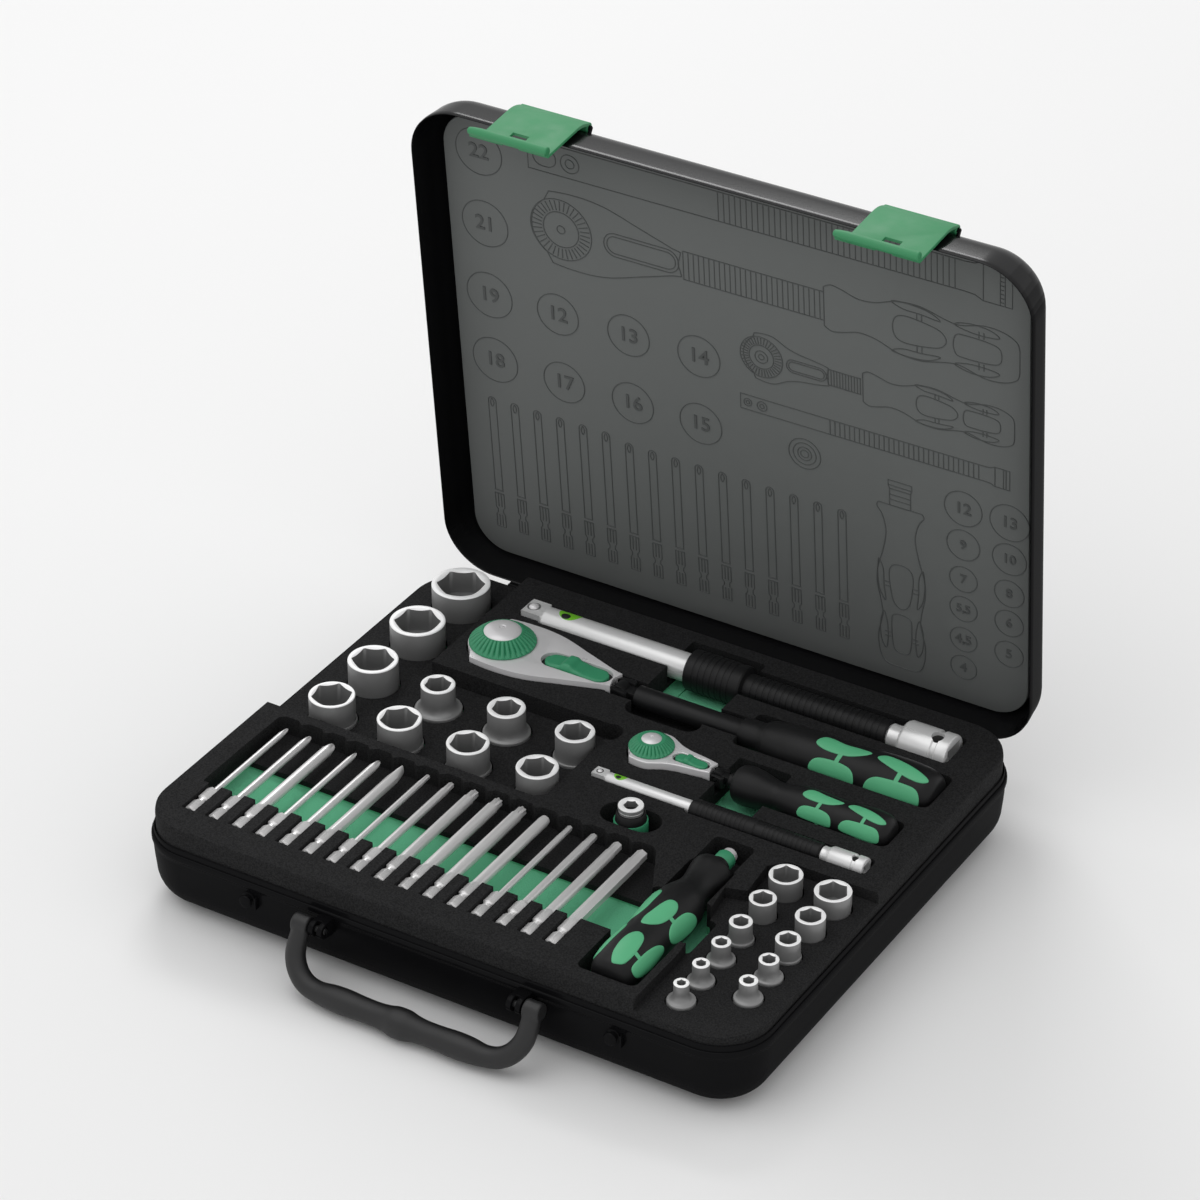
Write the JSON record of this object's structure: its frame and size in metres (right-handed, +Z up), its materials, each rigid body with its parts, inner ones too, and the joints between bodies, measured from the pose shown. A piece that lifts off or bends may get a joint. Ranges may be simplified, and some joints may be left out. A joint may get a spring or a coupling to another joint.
{
  "type": "socket wrench set in case",
  "caption": "Flat steel case with a hinged lid and a foam tray that holds ratchets, sockets, extension bars, a driver and long bits.",
  "frame": {"origin": "centre of the base's underside, on the surface the case stands on", "axes": "+X along the hinge, left to right seen from the carry handle; +Y from the carry handle to the hinge; +Z up"},
  "size_m": [0.341, 0.3399, 0.3267],
  "materials": {
    "case_black": "gloss black enamel",
    "tray_foam": "black closed-cell foam over a green layer",
    "liner_grey": "moulded grey sheet",
    "latch_green": "satin green",
    "grip_green": "satin green",
    "grip_black": "satin black",
    "satin_steel": "satin",
    "polished_steel": "polished"
  },
  "bodies": {
    "case": {"base_shell": "case_black", "foam_tray": "tray_foam", "hinge_pin": "satin_steel", "socket_half_22": "satin_steel", "socket_half_21": "satin_steel", "socket_half_19": "satin_steel", "socket_half_18": "satin_steel", "socket_half_12": "satin_steel", "socket_half_17": "satin_steel", "socket_half_13": "satin_steel", "socket_half_16": "satin_steel", "socket_half_14": "satin_steel", "socket_half_15": "satin_steel", "socket_quarter_12": "satin_steel", "socket_quarter_13": "satin_steel", "socket_quarter_9": "satin_steel", "socket_quarter_10": "satin_steel", "socket_quarter_7": "satin_steel", "socket_quarter_8": "satin_steel", "socket_quarter_5_5": "satin_steel", "socket_quarter_6": "satin_steel", "socket_quarter_4_5": "satin_steel", "socket_quarter_5": "satin_steel", "socket_quarter_4": "satin_steel", "bit_01": "satin_steel", "bit_02": "satin_steel", "bit_03": "satin_steel", "bit_04": "satin_steel", "bit_05": "satin_steel", "bit_06": "satin_steel", "bit_07": "satin_steel", "bit_08": "satin_steel", "bit_09": "satin_steel", "bit_10": "satin_steel", "bit_11": "satin_steel", "bit_12": "satin_steel", "bit_13": "satin_steel", "bit_14": "satin_steel", "bit_15": "satin_steel", "bit_16": "satin_steel"},
    "lid": {"lid_shell": "case_black", "lid_liner": "liner_grey"},
    "latch_left": {"latch_left": "latch_green"},
    "latch_right": {"latch_right": "latch_green"},
    "carry": {"carry_handle": "grip_black"},
    "large_ratchet": {"large_ratchet_handle": "grip_black"},
    "large_head": {"large_ratchet_head": "polished_steel"},
    "large_thumb": {"large_ratchet_thumb_ring": "grip_green"},
    "large_switch": {"large_ratchet_switch": "grip_green"},
    "small_ratchet": {"small_ratchet_handle": "grip_black"},
    "small_head": {"small_ratchet_head": "polished_steel"},
    "small_thumb": {"small_ratchet_thumb_ring": "grip_green"},
    "small_switch": {"small_ratchet_switch": "grip_green"},
    "large_extension": {"large_extension_shaft": "satin_steel"},
    "large_sleeve": {"large_extension_sleeve": "grip_black"},
    "small_extension": {"small_extension_shaft": "satin_steel"},
    "small_sleeve": {"small_extension_sleeve": "grip_black"},
    "adaptor": {"bit_adaptor": "satin_steel"},
    "driver": {"driver_handle": "grip_black"},
    "driver_collar": {"driver_collar": "satin_steel"}
  },
  "joints": [
    {"name": "lid_hinge", "type": "hinge", "parent": "case", "child": "lid", "pos_m": [0, 0.1436, 0.0371], "axis": [-1, 0, 0], "range_deg": [-84.3, 10.7]},
    {"name": "latch_left_pivot", "type": "hinge", "parent": "lid", "child": "latch_left", "pos_m": [-0.099, 0.1377, 0.3205], "axis": [-1, 0, 0], "range_deg": [0, 100]},
    {"name": "latch_right_pivot", "type": "hinge", "parent": "lid", "child": "latch_right", "pos_m": [0.10085, 0.1377, 0.3205], "axis": [-1, 0, 0], "range_deg": [0, 100]},
    {"name": "carry_swing", "type": "hinge", "parent": "case", "child": "carry", "pos_m": [0, -0.1485, 0.032], "axis": [-1, 0, 0], "range_deg": [0, 140]},
    {"name": "large_ratchet_lift", "type": "slide", "parent": "case", "child": "large_ratchet", "axis": [0, 0, 1], "range_m": [0, 0.06]},
    {"name": "large_head_swivel", "type": "hinge", "parent": "large_ratchet", "child": "large_head", "pos_m": [-0.024, 0.0765, 0.0474], "axis": [0, 1, 0], "range_deg": [0, 90]},
    {"name": "large_thumb_turn", "type": "hinge", "parent": "large_head", "child": "large_thumb", "pos_m": [-0.094, 0.0765, 0.0474], "axis": [0, 0, 1], "continuous": true},
    {"name": "large_switch_slide", "type": "slide", "parent": "large_head", "child": "large_switch", "axis": [1, 0, 0], "range_m": [-0.002, 0.002]},
    {"name": "small_ratchet_lift", "type": "slide", "parent": "case", "child": "small_ratchet", "axis": [0, 0, 1], "range_m": [0, 0.05]},
    {"name": "small_head_swivel", "type": "hinge", "parent": "small_ratchet", "child": "small_head", "pos_m": [0.056, 0.0346, 0.05], "axis": [0, 1, 0], "range_deg": [0, 90]},
    {"name": "small_thumb_turn", "type": "hinge", "parent": "small_head", "child": "small_thumb", "pos_m": [0.0182, 0.0346, 0.05], "axis": [0, 0, 1], "continuous": true},
    {"name": "small_switch_slide", "type": "slide", "parent": "small_head", "child": "small_switch", "axis": [1, 0, 0], "range_m": [-0.0012, 0.0012]},
    {"name": "large_extension_lift", "type": "slide", "parent": "case", "child": "large_extension", "axis": [0, 0, 1], "range_m": [0, 0.05]},
    {"name": "large_sleeve_turn", "type": "hinge", "parent": "large_extension", "child": "large_sleeve", "pos_m": [0.05, 0.112, 0.0471], "axis": [1, 0, 0], "continuous": true},
    {"name": "small_extension_lift", "type": "slide", "parent": "case", "child": "small_extension", "axis": [0, 0, 1], "range_m": [0, 0.05]},
    {"name": "small_sleeve_turn", "type": "hinge", "parent": "small_extension", "child": "small_sleeve", "pos_m": [0.09, 0.006, 0.049], "axis": [1, 0, 0], "continuous": true},
    {"name": "adaptor_lift", "type": "slide", "parent": "case", "child": "adaptor", "axis": [0, 0, 1], "range_m": [0, 0.04]},
    {"name": "driver_lift", "type": "slide", "parent": "case", "child": "driver", "axis": [0, 0, 1], "range_m": [0, 0.05]},
    {"name": "driver_collar_slide", "type": "slide", "parent": "driver", "child": "driver_collar", "axis": [0, 1, 0], "range_m": [0, 0.0025]}
  ]
}
